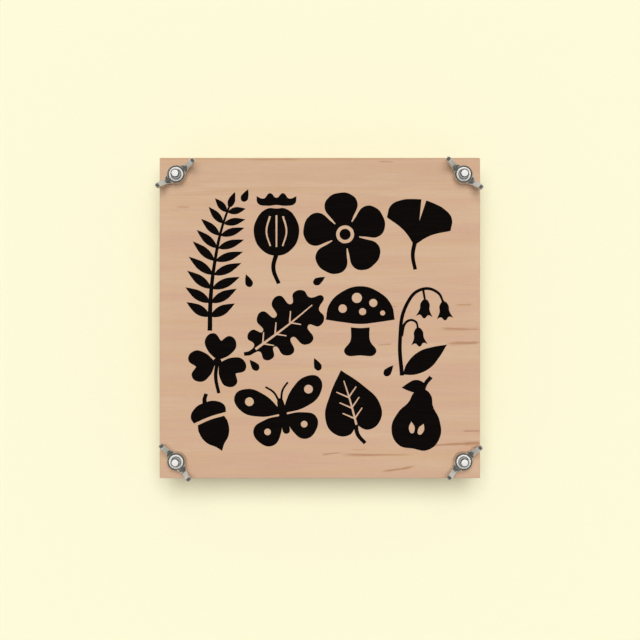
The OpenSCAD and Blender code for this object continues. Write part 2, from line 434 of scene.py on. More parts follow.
@dataclass(frozen=True)
class ThreadSteel(PlatedSteel):
    """Zinc-plated steel with a rolled thread, dark at the roots with grease and painted shade; the crests are clean.
    """

    grease_and_shade: str = "#262523"
    axis: float = 90.5
    # Distances from the axis, where the grease and painted shade are darkest and where they end
    root: float = 2.5
    clean: float = 2.9

    def _metal(self, add: AddNode, mm: Socket) -> Socket:
        """Writes the plating's colour with the grease and painted shade of the thread's roots over it.

        Args:
            add: adds a node to the material.
            mm: the point on the surface, in millimetres.

        Returns:
            The colour.
        """
        plating = super()._metal(add, mm)
        # Painted shade: nearly black at the thread's roots, for the grease there and the shade between the crests
        share = add("MapRange", (from_bolt(add, mm, self.axis), self.root, self.clean))
        return add("Mix", {0: share, 6: self.grease_and_shade, 7: plating}, data_type="RGBA")


@dataclass(frozen=True)
class CastSteel(PlatedSteel):
    """A zinc-plated casting. Ground parts are pale and matt where flash came off; their paleness is partly painted
    light.
    """

    ground: str = "#E3E2DC"
    ground_roughness: float = 0.6
    # The grinder's scratches, per millimetre
    scratch: Place = (0.6, 0.6, 5.0)
    # The attribute that says how far each point of the piece was ground and painted lighter, from 0 to 1
    attribute: str = "ground"

    def shade(self, add: AddNode, mm: Socket) -> Socket:
        """Writes the plating, and the ground metal over it, whose paleness is partly painted light.

        Args:
            add: adds a node to the material.
            mm: the point on the surface, in millimetres.

        Returns:
            The shader.
        """
        plated = super().shade(add, mm)
        share = add("Attribute", attribute_name=self.attribute).node.outputs["Fac"]
        place = add("Mapping", {"Vector": mm, "Scale": self.scratch})
        scratches = add("TexNoise", {"Vector": place, "Scale": 1.0, "Detail": 3.0})
        bump = add("Bump", {"Strength": 0.5, "Distance": self.depth * MM, "Height": scratches})
        # Pale and nearly matt, so that these faces show light under any lamp: painted light
        steel = {"Base Color": self.ground, "Metallic": 0.2, "Roughness": self.ground_roughness, "Normal": bump}
        return add("MixShader", (share, plated, add("BsdfPrincipled", steel)))


@dataclass(frozen=True)
class TurnedSteel(Finish):
    """Lathe-faced steel with fine tool rings round the bolt's axis; its near-white, matt colour is a painted
    highlight.
    """

    # Near-white and nearly matt: a painted highlight, since a real turned face is bright only where it reflects a lamp
    metal: str = "#F8F7F3"
    roughness: float = 0.4
    axis: float = 90.5
    # Width of a tool mark, drawn about twice as wide as a real one so that it shows, and its depth
    ring: float = 0.22
    depth: float = 0.02

    def shade(self, add: AddNode, mm: Socket) -> Socket:
        """Writes the tool marks.

        Args:
            add: adds a node to the material.
            mm: the point on the surface, in millimetres.

        Returns:
            The shader.
        """
        around = {"W": from_bolt(add, mm, self.axis), "Scale": 1 / self.ring, "Detail": 2.0}
        marks = add("TexNoise", around, noise_dimensions="1D")
        bump = add("Bump", {"Strength": 0.4, "Distance": self.depth * MM, "Height": marks})
        steel = {"Base Color": self.metal, "Metallic": 0.2, "Roughness": self.roughness, "Normal": bump}
        return add("BsdfPrincipled", steel)


@dataclass(frozen=True)
class KraftPaper(Finish):
    """Unbleached kraft paper: brown, with light and dark fibres, and faint ridges over the flutes below it."""

    brown: str = "#B58A5F"
    dark: str = "#8F6640"
    light: str = "#CDA87C"
    # Cloudiness and fibres, per millimetre. A real fibre is about a tenth as wide, and wouldn't show
    cloud: float = 0.12
    fibre: Place = (0.35, 2.8, 2.8)
    # The ways that the fibres lie, in radians
    turns: tuple[float, ...] = (0.35, -0.6, 1.4)
    # The width of a flute, and how high its ridge is as a share of the relief
    flute: float = 190 / 30
    ridges: float = 0.35
    relief: float = 0.12

    def shade(self, add: AddNode, mm: Socket) -> Socket:
        """Writes the paper.

        Args:
            add: adds a node to the material.
            mm: the point on the surface, in millimetres.

        Returns:
            The shader.
        """
        cloud = add("TexNoise", {"Vector": mm, "Scale": self.cloud, "Detail": 5.0})
        colour = add("Mix", {0: cloud, 6: self.brown, 7: self.light}, data_type="RGBA")
        fibres = []
        for turn, tone in zip(self.turns, (self.dark, self.light, self.dark)):
            laid = add("Mapping", {"Vector": mm, "Rotation": (0, 0, turn), "Scale": self.fibre})
            fibres.append(add("TexNoise", {"Vector": laid, "Scale": 1.0, "Detail": 2.0}))
            share = add("MapRange", (fibres[-1], 0.58, 0.75, 0.0, 0.55))
            colour = add("Mix", {0: share, 6: colour, 7: tone}, data_type="RGBA")
        across = add("SeparateXYZ", (mm,)).node.outputs["X"]
        phase = add("Math", (across, math.tau / self.flute), operation="MULTIPLY")
        ridge = add("Math", (phase,), operation="SINE")
        ridge = add("Math", (ridge, self.ridges), operation="MULTIPLY")
        height = add("Math", (fibres[0], fibres[1]), operation="ADD")
        height = add("Math", (height, ridge), operation="ADD")
        bump = add("Bump", {"Strength": 0.6, "Distance": self.relief * MM, "Height": height})
        paper = {"Base Color": colour, "Roughness": 0.88, "Specular IOR Level": 0.2, "Normal": bump}
        return add("BsdfPrincipled", paper)


@dataclass(frozen=True)
class BlottingPaper(Finish):
    """Thick unsized cotton paper: off-white, cloudy and quite matt, with a soft felt of fibres."""

    white: str = "#EAE6DA"
    grey: str = "#DCD6C6"
    # Cloudiness and felt, per millimetre. The real felt is finer, and wouldn't show
    cloud: float = 0.35
    felt: float = 2.4
    relief: float = 0.1

    def shade(self, add: AddNode, mm: Socket) -> Socket:
        """Writes the paper.

        Args:
            add: adds a node to the material.
            mm: the point on the surface, in millimetres.

        Returns:
            The shader.
        """
        cloud = add("TexNoise", {"Vector": mm, "Scale": self.cloud, "Detail": 5.0, "Roughness": 0.6})
        felt = add("TexNoise", {"Vector": mm, "Scale": self.felt, "Detail": 3.0, "Distortion": 1.4})
        share = add("MapRange", (cloud, 0.35, 0.7))
        colour = add("Mix", {0: share, 6: self.white, 7: self.grey}, data_type="RGBA")
        bump = add("Bump", {"Strength": 0.7, "Distance": self.relief * MM, "Height": felt})
        paper = {"Base Color": colour, "Roughness": 0.95, "Specular IOR Level": 0.1, "Normal": bump}
        return add("BsdfPrincipled", paper)


# The streaks that the top board's veneer shows, most of them on its right side
TOP_STREAKS = (
    # The first two darken the veneer along the board's back edge: a thin line at the edge, and a broad faint band
    # inside it
    Streak((-150, 101.0), (150, 101.0), 1.1, 0.22),
    Streak((-200, 93.0), (200, 93.0), 22.0, 0.1),
    Streak((53, -82.6), (103, -79.2), 1.6, 0.72),
    Streak((91, -80.2), (104, -79.4), 2.4, 0.5),
    Streak((13, -86.8), (59, -86.3), 1.2, 0.65),
    Streak((1, -87.0), (14, -85.2), 1.0, 0.7),
    Streak((39, -97.3), (61, -93.6), 1.0, 0.68),
    Streak((90, -71.6), (103, -71.5), 1.1, 0.6),
    Streak((76, -6.9), (103, -7.0), 1.0, 0.6),
    Streak((79, -16.3), (103, -15.4), 1.1, 0.68),
    Streak((85.5, 7.9), (97, 8.3), 0.8, 0.5),
    Streak((36, -17.1), (46, -16.4), 0.8, 0.45),
    Streak((42, 7.3), (49.5, 7.3), 0.7, 0.45),
    Streak((20, -83.4), (31, -83.1), 0.6, 0.3),
    Streak((37, 99.3), (47, 99.0), 0.7, 0.5),
    Streak((-48, 100.3), (-12, 100.4), 0.6, 0.45),
    Streak((-91, 70.2), (-82, 70.1), 0.9, 0.42),
)
# What a bolt's head and its thread have in common: rolled steel, which is smoother than a casting
ROLLED = {"bright": "#C6C6C0", "dull": "#A3A4A0", "roughness": 0.3, "skin": 0.6, "depth": 0.008}

TOP_VENEER = MapleVeneer("maple_veneer_top", streaks=TOP_STREAKS)
UNDER_VENEER = MapleVeneer("maple_veneer_under", shift=430.0)
BOLT_STEEL = PlatedSteel("zinc_plated_bolt", **ROLLED)
THREAD_STEEL = ThreadSteel("zinc_plated_thread", **ROLLED)
CAST_STEEL = CastSteel("zinc_plated_casting", bright="#D4D1C8", dull="#B9B6AD", roughness=0.3, skin=0.4)
# Its near-white colour is a painted highlight on the nuts' turned rings and the bolts' tips
TURNED_STEEL = TurnedSteel("lathe_turned_steel")
LINER = KraftPaper("kraft_liner")
MEDIUM = KraftPaper("kraft_medium", brown="#A27A50", dark="#7D5936", light="#B8905F", ridges=0.0)
BLOTTER = BlottingPaper("blotting_paper")
INK = ScreenInk("black_screen_ink")


# Meshes


def mesh_of(bm: bmesh.types.BMesh, name: str, *finishes: Finish) -> bpy.types.Mesh:
    """Turns a bmesh into a mesh and frees it.

    Args:
        bm: the shape.
        name: the mesh's name.
        finishes: the finishes that its faces choose from by their material number.

    Returns:
        The mesh.
    """
    mesh = bpy.data.meshes.new(name)
    bm.to_mesh(mesh)
    bm.free()
    for finish in finishes:
        mesh.materials.append(finish.material())
    return mesh


def evaluated(data: bpy.types.ID, steps: Iterable[tuple[str, Mapping[str, Any]]] = ()) -> bpy.types.Mesh:
    """Turns a curve or a mesh into a new mesh, with modifiers applied.

    Args:
        data: the curve or mesh.
        steps: for each modifier in turn, its type and its settings.

    Returns:
        The new mesh.
    """
    holder = bpy.data.objects.new("holder", data)
    bpy.context.scene.collection.objects.link(holder)
    for kind, settings in steps:
        modifier = holder.modifiers.new(kind.lower(), kind)
        for name, value in settings.items():
            setattr(modifier, name, value)
    result = bpy.data.meshes.new_from_object(holder.evaluated_get(bpy.context.evaluated_depsgraph_get()))
    bpy.data.objects.remove(holder)
    return result


def combined(base: bpy.types.Mesh, others: Sequence[bpy.types.Mesh], how: Cut) -> bpy.types.Mesh:
    """Joins, cuts or intersects closed meshes. A face that a tool leaves has the tool's finish.

    Args:
        base: the mesh that is worked on, which is used up.
        others: the meshes that work on it, which are used up.
        how: what happens where they meet.

    Returns:
        The new mesh.
    """
    if not others:
        return base
    tools = bpy.data.collections.new("tools")
    bpy.context.scene.collection.children.link(tools)
    for mesh in others:
        tools.objects.link(bpy.data.objects.new("tool", mesh))
    cut = {"operand_type": "COLLECTION", "collection": tools, "solver": "EXACT", "material_mode": "TRANSFER"}
    result = evaluated(base, [("BOOLEAN", {"operation": how.value, **cut})])
    for tool in list(tools.objects):
        bpy.data.objects.remove(tool)
    bpy.data.collections.remove(tools)
    for mesh in (base, *others):
        bpy.data.meshes.remove(mesh)
    # The cut leaves slivers of no width, which go
    bm = bmesh.new()
    bm.from_mesh(result)
    bmesh.ops.dissolve_degenerate(bm, edges=bm.edges[:], dist=0.001)
    bm.to_mesh(result)
    bm.free()
    return result


def rounded(
    bm: bmesh.types.BMesh, parts: Sequence[Any], radius: float, steps: int, what: Round = Round.EDGES
) -> None:
    """Rounds edges that meet at right angles, or corners whose offset along their sides is given as the radius."""
    bmesh.ops.bevel(bm, geom=parts, offset=radius, segments=steps, profile=0.5, affect=what.value, material=-1)


def sharp_edges(bm: bmesh.types.BMesh, bend: float = 0.5) -> list[bmesh.types.BMEdge]:
    """The edges whose two faces bend by more than an angle, in radians."""
    bm.normal_update()
    return [e for e in bm.edges if e.calc_face_angle(0) > bend]


def block(size: Place, middle: Place, corner: float = 0.0, steps: int = 1) -> bmesh.types.BMesh:
    """Makes a box.

    Args:
        size: its width, depth and height.
        middle: where its middle is.
        corner: the radius of its upright edges.
        steps: the number of facets in each of these.

    Returns:
        The closed shape.
    """
    bm = bmesh.new()
    bmesh.ops.create_cube(bm, size=1.0, matrix=Matrix.Translation(middle) @ Matrix.Diagonal((*size, 1)))
    if corner:
        upright = [e for e in bm.edges if abs(e.verts[0].co.z - e.verts[1].co.z) > size[2] / 2]
        rounded(bm, upright, corner, steps)
    return bm


def turned(profile: Sequence[Point], steps: int) -> bmesh.types.BMesh:
    """Spins a profile about the Z axis.

    Args:
        profile: radius and height of each point, from one end of the axis to the other.
        steps: the number of facets round the axis.

    Returns:
        The closed shape.
    """
    bm = bmesh.new()
    verts = [bm.verts.new((r, 0, z)) for r, z in profile]
    edges = [bm.edges.new(pair) for pair in zip(verts, verts[1:])]
    about = {"cent": (0, 0, 0), "axis": (0, 0, 1), "angle": math.tau}
    bmesh.ops.spin(bm, geom=verts + edges, steps=steps, use_merge=True, **about)
    bmesh.ops.remove_doubles(bm, verts=bm.verts, dist=MERGE)
    bmesh.ops.recalc_face_normals(bm, faces=bm.faces)
    return bm


def prism(corners: Sequence[Corner], low: float, high: float, steps: int = 6) -> bmesh.types.BMesh:
    """Raises an outline with rounded corners into a solid along Z.

    Args:
        corners: x, y and rounding radius of each corner.
        low: height of the bottom face.
        high: height of the top face.
        steps: the number of straight steps in a rounded corner.

    Returns:
        The closed shape.
    """
    bm = bmesh.new()
    verts = [bm.verts.new((x, y, low)) for x, y, _ in corners]
    bm.faces.new(verts)
    for number, vert in enumerate(verts):
        radius = corners[number][2]
        if radius:
            here = Vector(corners[number][:2])
            before, after = (Vector(corners[i][:2]) for i in (number - 1, (number + 1) % len(corners)))
            turn = math.pi - (before - here).angle(after - here)
            rounded(bm, [vert], radius * math.tan(turn / 2), steps, Round.CORNERS)
    grown = bmesh.ops.extrude_face_region(bm, geom=list(bm.faces))
    lifted = [v for v in grown["geom"] if isinstance(v, bmesh.types.BMVert)]
    bmesh.ops.translate(bm, verts=lifted, vec=(0, 0, high - low))
    bmesh.ops.recalc_face_normals(bm, faces=bm.faces)
    return bm


def mirrored(half: Iterable[Corner]) -> list[Corner]:
    """A right half outline, from the bottom up, with its left half added."""
    right = list(half)
    return right + [(-x, y, r) for x, y, r in reversed(right)]


def ramp(value: float, start: float, full: float) -> float:
    """Rises from 0 at one value to 1 at another, and stays there."""
    return max(0.0, min(1.0, (value - start) / (full - start)))


@dataclass(frozen=True)
class Ride:
    """Where a piece belongs: the body that it moves with, its slot, and the solids that it stands for."""

    body: str
    slot: str
    stands_for: tuple[str, ...] = ()


def put(
    mesh: bpy.types.Mesh, name: str, ride: Ride, place: Matrix | None = None, crease: float = 35
) -> bpy.types.Object:
    """Makes a finished mesh a piece of the press.

    Args:
        mesh: the mesh, in millimetres.
        name: the piece's name.
        ride: the body and the solids.
        place: where it goes, in millimetres.
        crease: the angle between two faces, in degrees, above which their edge stays sharp.

    Returns:
        The piece.
    """
    mesh.transform(Matrix.Scale(MM, 4) @ (place or Matrix.Identity(4)))
    mesh.name = name
    mesh.polygons.foreach_set("use_smooth", [True] * len(mesh.polygons))
    mesh.set_sharp_from_angle(angle=math.radians(crease))
    piece = bpy.data.objects.new(name, mesh)
    bpy.context.scene.collection.objects.link(piece)
    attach(piece, ride.body)
    if ride.stands_for:
        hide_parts(*ride.stands_for)
    log.info("%s: %d faces on %s", name, len(mesh.polygons), ride.body)
    return piece


# The press


@dataclass(frozen=True)
class Seats:
    """Where the four bolts stand."""

    # How far each stands from the middle of the press, both ways
    axis: float = 90.5

    def corners(self) -> list[tuple[str, float, float]]:
        """Lists the corners.

        Returns:
            Each corner's name, and its place to the right and to the back.
        """
        return [
            (f"{end}_{side}", x * self.axis, y * self.axis)
            for end, y in (("back", 1), ("front", -1))
            for side, x in (("left", -1), ("right", 1))
        ]


@dataclass(frozen=True)
class Board:
    """A square maple plywood board, with the holes that its bolts need."""

    node: str
    body: str
    bottom: float
    veneer: MapleVeneer
    hole_r: float
    # The pocket for a bolt's head, which opens downwards
    pocket_r: float = 0.0
    pocket_depth: float = 0.0
    # The hole for a bolt's square neck: its width, and the heights between which it is cut, from inside the pocket
    neck: float = 0.0
    neck_span: Point = (3.0, 8.5)
    width: float = 203.0
    thickness: float = 9.0
    # The radius of the upright corners and of the sanded edges all round, and the facets of each
    corner: float = 0.7
    corner_steps: int = 5
    arris: float = 0.35
    arris_steps: int = 4
    hole_steps: int = 64
    # A face belongs to the veneer where its normal stands at least this upright
    upright: float = 0.8

    def build(self, seats: Seats) -> bpy.types.Object:
        """Cuts the board, eases its edges and drills it.

        Args:
            seats: where the bolts stand.

        Returns:
            The board.
        """
        size = (self.width, self.width, self.thickness)
        bm = block(size, (0, 0, self.bottom + self.thickness / 2), self.corner, self.corner_steps)
        rounded(bm, sharp_edges(bm), self.arris, self.arris_steps)
        for face in bm.faces:
            across, along, up = (abs(n) for n in face.normal)
            face.material_index = 0 if up > self.upright else 1 if along >= across else 2
        front = PlyEdge(f"ply_{self.node}_front", grain=Grain.ALONG_EDGE, bottom=self.bottom)
        side = PlyEdge(f"ply_{self.node}_side", grain=Grain.INTO_EDGE, bottom=self.bottom)
        board = mesh_of(bm, self.node, self.veneer, front, side)
        cuts = [self._drill, self._neck_hole] if self.neck else [self._drill]
        tools = [mesh_of(cut(x, y), "tool", side) for cut in cuts for _, x, y in seats.corners()]
        board = combined(board, tools, Cut.TAKE_AWAY)
        return put(board, f"{self.node}_maple", Ride(self.body, "maple_board", (self.node,)))

    def _drill(self, x: float, y: float) -> bmesh.types.BMesh:
        """Makes the tool that drills one hole, with its pocket.

        Args:
            x: how far right the hole is.
            y: how far back the hole is.

        Returns:
            The closed shape.
        """
        low, high = -OVERRUN, self.thickness + OVERRUN
        profile = [(0, high), (self.hole_r, high)]
        if self.pocket_r:
            profile += [(self.hole_r, self.pocket_depth), (self.pocket_r, self.pocket_depth), (self.pocket_r, low)]
        else:
            profile.append((self.hole_r, low))
        bm = turned([(0, low), *reversed(profile)], self.hole_steps)
        bmesh.ops.translate(bm, verts=bm.verts, vec=(x, y, self.bottom))
        return bm

    def _neck_hole(self, x: float, y: float) -> bmesh.types.BMesh:
        """The tool that presses one bolt's square neck into the wood."""
        low, high = self.neck_span
        return block((self.neck, self.neck, high - low), (x, y, (low + high) / 2))


@dataclass(frozen=True)
class CarriageBolt:
    """A zinc-plated carriage bolt with a rolled thread."""

    # The heights of the head's seat in its pocket and of the tip
    seat: float = 4.2
    tip: float = 54.2
    head_r: float = 8.25
    head_h: float = 3.6
    # The straight rim under the seat, how far its edge is eased, and the steps of the dome below it
    rim: float = 0.5
    rim_edge: float = 0.1
    dome_steps: int = 12
    neck: float = 6.38
    neck_h: float = 4.3
    # How far the neck is sunk into the head, and its edges' radius
    sunk: float = 0.4
    neck_edge: float = 0.4
    shank_r: float = 2.85
    crest_r: float = 2.97
    pitch: float = 1.0
    thread_from: float = 11.0
    # The thread's depth, as a share of its pitch
    depth_share: float = 0.541
    # One ridge: how deep each of its points lies, as a share of the thread's depth, and how high, in pitches
    ridge: tuple[Point, ...] = ((0, 0), (0, 1 / 8), (1, 7 / 16), (1, 11 / 16), (0, 1))
    # The flat of the tip, its crown, and how much further the cone round it drops than it widens
    tip_r: float = 2.15
    crown: float = 0.16
    taper: float = 1.3
    # Facets of one turn of the thread, of the shank and of the head
    steps: int = 28
    shank_steps: int = 48
    head_steps: int = 64

    def build(self, seats: Seats) -> list[bpy.types.Object]:
        """Makes one bolt and sets it at each corner.

        Args:
            seats: where the bolts stand.

        Returns:
            The four bolts.
        """
        bolt = combined(self._rod(), [self._head(), self._neck()], Cut.JOIN)
        made = []
        for corner, x, y in seats.corners():
            ride = Ride("base", "bolt_steel", (f"bolt_{corner}",))
            made.append(put(bolt.copy(), f"bolt_{corner}_threaded", ride, Matrix.Translation((x, y, 0)), crease=28))
        bpy.data.meshes.remove(bolt)
        return made

    def _rod(self) -> bpy.types.Mesh:
        """Cuts the thread to the bolt's own outline and joins it to the plain shank.

        Returns:
            The closed mesh.
        """
        low = self.thread_from
        wide = self.crest_r + OVERRUN
        dome = [(self.tip_r * s, self.tip - self.crown * s * s) for s in (1.0, 0.75, 0.5, 0.25, 0.0)]
        shoulder = dome[0][1]
        cone = (wide, shoulder - (wide - self.tip_r) * self.taper)
        outline = turned([(0, low - OVERRUN), (wide, low - OVERRUN), cone, *dome], self.shank_steps)
        # The tip's dome takes the turned finish, and so its painted highlight
        for face in outline.faces:
            face.material_index = int(face.calc_center_median().z > shoulder)
        tools = [mesh_of(outline, "outline", THREAD_STEEL, TURNED_STEEL)]
        rod = combined(self._thread(low, self.tip + OVERRUN), tools, Cut.KEEP_SHARED)
        ends = self.seat + OVERRUN, low + OVERRUN
        shank = turned([(0, ends[0]), *((self.shank_r, z) for z in ends), (0, ends[1])], self.shank_steps)
        return combined(rod, [mesh_of(shank, "shank", BOLT_STEEL)], Cut.JOIN)

    def _thread(self, low: float, high: float) -> bpy.types.Mesh:
        """Winds the thread's ridge up the bolt and closes it off flat.

        Args:
            low: height of its lower end.
            high: height of its upper end.

        Returns:
            The closed mesh.
        """
        depth = self.pitch * self.depth_share
        # Two turns more than needed below, and one above, are cut off again
        turns = math.ceil((high - low) / self.pitch) + 3
        start = low - 2 * self.pitch
        bm = bmesh.new()
        ring = [(self.crest_r - depth * deep, start + self.pitch * up) for deep, up in self.ridge]
        verts = [bm.verts.new((r, 0, z)) for r, z in ring]
        edges = [bm.edges.new(pair) for pair in zip(verts, verts[1:])]
        climb = {"dvec": (0, 0, self.pitch / self.steps), "angle": math.tau * turns, "steps": self.steps * turns}
        bmesh.ops.spin(bm, geom=verts + edges, cent=(0, 0, 0), axis=(0, 0, 1), **climb)
        # Each turn's top edge is the next one's bottom edge, but for the rounding of so many steps
        bmesh.ops.remove_doubles(bm, verts=bm.verts, dist=0.003)
        for height, facing in ((low, -1), (high, 1)):
            everything = bm.verts[:] + bm.edges[:] + bm.faces[:]
            plane = {"plane_co": (0, 0, height), "plane_no": (0, 0, facing)}
            bmesh.ops.bisect_plane(bm, geom=everything, clear_outer=True, **plane)
        bmesh.ops.holes_fill(bm, edges=[e for e in bm.edges if e.is_boundary], sides=0)
        bmesh.ops.recalc_face_normals(bm, faces=bm.faces)
        return mesh_of(bm, "thread", THREAD_STEEL)

    def _head(self) -> bpy.types.Mesh:
        """Turns the domed head under the board.

        Returns:
            The closed mesh.
        """
        dome_h = self.head_h - self.rim
        dome_r = (self.head_r**2 + dome_h**2) / (2 * dome_h)
        spread = math.asin(self.head_r / dome_r)
        low = self.seat - self.head_h
        angles = [spread * i / self.dome_steps for i in range(self.dome_steps + 1)]
        dome = [(dome_r * math.sin(a), low + dome_r * (1 - math.cos(a))) for a in angles]
        rim = [(self.head_r, self.seat - self.rim_edge), (self.head_r - self.rim_edge, self.seat), (0, self.seat)]
        return mesh_of(turned(dome + rim, self.head_steps), "head", BOLT_STEEL)

    def _neck(self) -> bpy.types.Mesh:
        """Makes the square neck that the board's wood holds.

        Returns:
            The closed mesh.
        """
        size = (self.neck, self.neck, self.neck_h + self.sunk)
        bm = block(size, (0, 0, self.seat + (self.neck_h - self.sunk) / 2), self.neck_edge, steps=3)
        return mesh_of(bm, "neck", BOLT_STEEL)


@dataclass(frozen=True)
class WingNut:
    """A cast wing nut, whose bore and top were cut on a lathe after casting."""

    # The height of its underside, and the angle of each nut's wings in degrees
    base: float = 39.4
    turns: tuple[tuple[str, float], ...] = (
        ("back_left", 35.4),
        ("back_right", -40.7),
        ("front_left", -50.8),
        ("front_right", 44.1),
    )
    hub_h: float = 7.6
    # The hub's flank, before its top is turned: radius and height
    hub: tuple[Point, ...] = ((6.2, 0), (5.5, 6.7), (5.4, 8.2))
    bore_r: float = 3.05
    countersink: float = 0.45
    # The cut that flattens the underside, and the height that tells its face from the countersink
    underside: tuple[Point, ...] = ((0, -2), (9, -2), (9, 0.02))
    faced: float = 0.1
    # The depth of the bore's mouth, the turned ring round it with its crown, and the shoulder outside the ring
    mouth: float = 1.0
    ring: Point = (3.32, 4.42)
    crown: float = 0.12
    crown_shares: tuple[float, ...] = (0.0, 0.15, 0.32, 0.5, 0.68, 0.85, 1.0)
    shoulder: tuple[Point, ...] = ((4.48, 7.28), (5.65, 7.2), (6.0, 7.3), (6.0, 10.6))
    # From the front: the web's underside, the elbow, the tip's two corners and the web's end
    front: tuple[Corner, ...] = (
        (4.9, 1.2, 0),
        (12.3, 4.3, 2.4),
        (15.2, 15.0, 0.9),
        (12.1, 15.33, 0.9),
        (7.9, 6.2, 2.8),
    )
    # From above, a quarter: the wing's tip, its root, and where its web leaves the hub
    plan: tuple[Corner, ...] = ((14.98, 1.5, 1.4), (8.2, 1.75, 0), (2.0, 4.47, 0))
    # From a wing's end: the hub's width, and above it the wing
    end: tuple[Corner, ...] = ((6.2, 0, 0), (6.2, 7.8, 0), (1.72, 7.8, 0), (1.72, 15.33, 0.9))
    # How far these three outlines are raised, past the nut on both sides
    raised: tuple[Point, ...] = ((-8, 8), (-1, 18), (-17, 17))
    # Where the wings' inner faces are ground and painted lighter, in distance from the axis, how softly that ends,
    # and how far a face has to turn inwards before it is painted a little lighter and before it is painted fully pale
    ground: Point = (8.1, 12.3)
    blend: float = 0.5
    inwards: Point = (0.25, 0.6)
    # The size of the casting's facets, how strongly they are smoothed at a time, and how many times
    voxel: float = 0.2
    rub: float = 0.6
    rubbing: int = 7
    hub_steps: int = 72
    bore_steps: int = 96

    def build(self, seats: Seats) -> list[bpy.types.Object]:
        """Casts one nut, cuts its bore and sets it at each corner.

        Args:
            seats: where the bolts stand.

        Returns:
            The four nuts.
        """
        nut = combined(self._casting(), [self._cutter()], Cut.TAKE_AWAY)
        self._grind_and_light(nut)
        places = {corner: (x, y) for corner, x, y in seats.corners()}
        made = []
        for corner, turn in self.turns:
            body = f"wing_nut_{corner}"
            place = Matrix.Translation((*places[corner], self.base)) @ Matrix.Rotation(math.radians(turn), 4, "Z")
            made.append(put(nut.copy(), f"{body}_cast", Ride(body, "wing_nut_steel", (body,)), place))
        bpy.data.meshes.remove(nut)
        return made

    def _casting(self) -> bpy.types.Mesh:
        """Casts the hub and wings in one piece, softened as a casting is.

        Returns:
            The closed mesh.
        """
        upright = Matrix.Rotation(math.pi / 2, 4, "X")
        behind = mirrored(self.plan)
        plan = [*behind, *((-x, -y, r) for x, y, r in behind)]
        outlines = (
            (mirrored(self.front), upright),
            (plan, Matrix.Identity(4)),
            (mirrored(self.end), Matrix.Rotation(math.pi / 2, 4, "Z") @ upright),
        )
        views = []
        for (corners, way), (low, high) in zip(outlines, self.raised):
            bm = prism(corners, low, high)
            bmesh.ops.transform(bm, matrix=way, verts=bm.verts)
            views.append(mesh_of(bm, "view"))
        wings = combined(views[0], views[1:], Cut.KEEP_SHARED)
        hub = turned([(0, 0), *self.hub, (0, self.hub[-1][1])], self.hub_steps)
        rough = combined(mesh_of(hub, "hub"), [wings], Cut.JOIN)
        soften = [
            ("REMESH", {"mode": "VOXEL", "voxel_size": self.voxel}),
            ("SMOOTH", {"factor": self.rub, "iterations": self.rubbing}),
        ]
        cast = evaluated(rough, soften)
        bpy.data.meshes.remove(rough)
        cast.materials.clear()
        cast.materials.append(CAST_STEEL.material())
        return cast

    def _grind_and_light(self, nut: bpy.types.Mesh) -> None:
        """Notes how far the wings' inner faces were ground and painted lighter, for the casting's finish.

        Args:
            nut: the nut, which gets the attribute.
        """
        first, last = self.ground
        shares = []
        for vert in nut.vertices:
            out = abs(vert.co.x)
            inwards = -math.copysign(1, vert.co.x) * vert.normal.x
            # Painted light: the share is full on faces that turn inwards, inside the band
            shares.append(ramp(min(out - first, last - out), 0, self.blend) * ramp(inwards, *self.inwards))
        nut.attributes.new(CAST_STEEL.attribute, "FLOAT", "POINT").data.foreach_set("value", shares)

    def _cutter(self) -> bpy.types.Mesh:
        """Makes the lathe's cut: the flat underside, the bore and its mouth, the crowned ring and the shoulder.

        Returns:
            The closed mesh.
        """
        inner, outer = self.ring
        low = self.hub_h - self.crown
        skim = self.underside[-1][1]
        profile = [
            *self.underside,
            (self.bore_r + self.countersink, skim),
            (self.bore_r, self.countersink),
            (self.bore_r, self.hub_h - self.mouth),
            *((inner + (outer - inner) * s, low + self.crown * math.sin(math.pi * s)) for s in self.crown_shares),
            *self.shoulder,
            (0, self.shoulder[-1][1]),
        ]
        bm = turned(profile, self.bore_steps)
        # The crowned ring takes the turned finish, and so its painted highlight
        for face in bm.faces:
            middle = face.calc_center_median()
            face.material_index = int(middle.z < self.faced or inner < middle.xy.length < outer)
        return mesh_of(bm, "cutter", CAST_STEEL, TURNED_STEEL)


